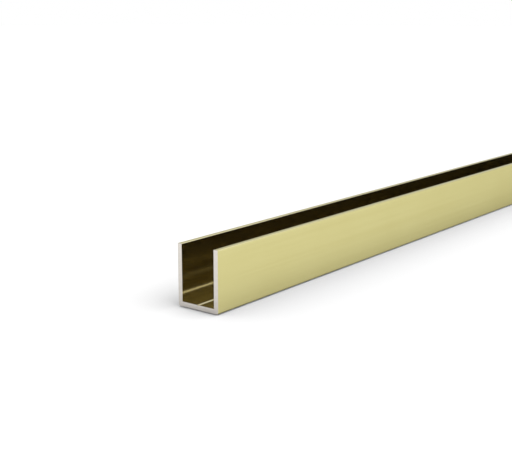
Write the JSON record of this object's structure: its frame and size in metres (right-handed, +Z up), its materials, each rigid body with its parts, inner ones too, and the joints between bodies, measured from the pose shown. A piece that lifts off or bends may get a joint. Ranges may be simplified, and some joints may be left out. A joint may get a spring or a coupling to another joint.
{
  "type": "aluminium u-channel profile",
  "caption": "Straight U-channel extrusion in satin gold anodised aluminium, sawn square at both ends, that edges or holds a glass or board panel in its slot.",
  "frame": {"origin": "middle of the web's underside, at mid-length", "axes": "+X along the length, +Y across the flanges, +Z up out of the slot"},
  "size_m": [1, 0.02, 0.025],
  "materials": {
    "gold_anodised": "satin"
  },
  "bodies": {
    "root": {"u_channel": "gold_anodised"}
  },
  "joints": []
}
